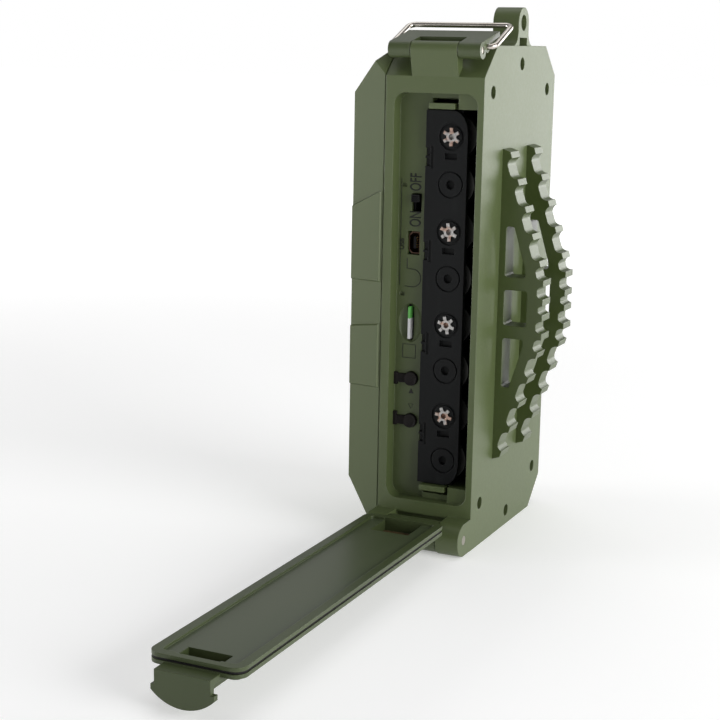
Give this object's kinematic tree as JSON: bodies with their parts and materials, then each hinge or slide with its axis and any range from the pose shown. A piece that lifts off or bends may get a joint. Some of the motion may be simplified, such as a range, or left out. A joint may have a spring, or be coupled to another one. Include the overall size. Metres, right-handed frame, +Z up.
{
  "type": "electronic game caller",
  "caption": "Handheld electronic game caller with speaker case, toothed strap rails, wire-latched side door, slide switch, card slot and battery magazine.",
  "frame": {"origin": "middle of the underside, on the face that the case stands on", "axes": "X to the door side, Y to the back with the rails, Z up"},
  "size_m": [0.2257, 0.0625, 0.1785],
  "materials": {
    "olive_shell": "moulded, fine satin grain",
    "olive_door": "moulded, satin",
    "olive_rail": "moulded, satin",
    "black_plastic": "moulded, satin",
    "black_rubber": "matt",
    "steel_wire": "bright drawn wire",
    "steel_pin": "turned",
    "dark_screw": "black oxide",
    "rivet_steel": "nickel plated",
    "contact_metal": "nickel plated",
    "cell_sleeve": "printed sleeve",
    "board_green": "solder mask",
    "chip_black": "moulded",
    "heatsink": "bead blasted",
    "cone_paper": "pressed paper",
    "speaker_steel": "zinc plated",
    "magnet_ferrite": "ferrite",
    "cloth_black": "woven mesh",
    "connector_metal": "nickel plated",
    "card_plastic": "printed",
    "led_red": "clear red",
    "antenna_foil": "flexible strip"
  },
  "bodies": {
    "case": {"rear_housing": "olive_shell", "front_shell": "olive_shell", "case_seal": "black_rubber", "housing_screws": "dark_screw", "rail_left": "olive_rail", "rail_right": "olive_rail", "hanging_lug": "olive_shell", "hinge_pin": "steel_pin", "lever_pin": "steel_pin", "grille_cloth": "cloth_black", "speaker_basket": "speaker_steel", "speaker_screws": "dark_screw", "speaker_surround": "black_rubber", "speaker_cone": "cone_paper", "speaker_cap": "cone_paper", "speaker_magnet": "magnet_ferrite", "voice_coil": "antenna_foil", "side_board": "board_green", "main_board": "board_green", "board_screws": "dark_screw", "amplifier": "heatsink", "capacitors": "chip_black", "receiver_module": "connector_metal", "antenna": "antenna_foil", "status_led": "led_red", "switch_case": "connector_metal", "usb_shell": "connector_metal", "usb_tongue": "chip_black", "card_socket": "chip_black", "tact_switches": "chip_black", "button_arms": "black_rubber", "bay_contacts": "contact_metal"},
    "door": {"door_panel": "olive_door", "door_seal": "black_rubber"},
    "lever": {"latch_lever": "olive_door"},
    "bail": {"wire_bail": "steel_wire"},
    "switch": {"switch_knob": "black_plastic"},
    "up_button": {"button_up": "black_rubber"},
    "down_button": {"button_down": "black_rubber"},
    "card": {"memory_card": "card_plastic"},
    "magazine": {"magazine_frame": "black_plastic", "contact_rivets": "rivet_steel", "contact_strips": "contact_metal", "magazine_terminals": "contact_metal", "cell_1": "cell_sleeve", "cell_2": "cell_sleeve", "cell_3": "cell_sleeve", "cell_4": "cell_sleeve", "cell_5": "cell_sleeve", "cell_6": "cell_sleeve", "cell_7": "cell_sleeve", "cell_8": "cell_sleeve"}
  },
  "joints": [
    {"name": "door_hinge", "type": "hinge", "parent": "case", "child": "door", "pos_m": [0.0408, 0.006, 0.0056], "axis": [0, 1, 0], "range_deg": [-90, 0]},
    {"name": "latch_hinge", "type": "hinge", "parent": "case", "child": "lever", "pos_m": [0.0345, 0.0061, 0.1644], "axis": [0, 1, 0], "range_deg": [-8, 100]},
    {"name": "bail_hinge", "type": "hinge", "parent": "lever", "child": "bail", "pos_m": [0.03051, 0.0061, 0.16547], "axis": [0, -1, 0], "range_deg": [-211.5, 0]},
    {"name": "power_switch", "type": "slide", "parent": "case", "child": "switch", "axis": [0, 0, -1], "range_m": [0, 0.0029]},
    {"name": "up_press", "type": "slide", "parent": "case", "child": "up_button", "axis": [-1, 0, 0], "range_m": [0, 0.0007], "stiffness_N_per_m": 400, "springref_m": -0.0005},
    {"name": "down_press", "type": "slide", "parent": "case", "child": "down_button", "axis": [-1, 0, 0], "range_m": [0, 0.0007], "stiffness_N_per_m": 400, "springref_m": -0.0005},
    {"name": "card_slide", "type": "slide", "parent": "case", "child": "card", "axis": [1, 0, 0], "range_m": [0, 0.016]},
    {"name": "magazine_slide", "type": "slide", "parent": "case", "child": "magazine", "axis": [1, 0, 0], "range_m": [0, 0.065]}
  ]
}
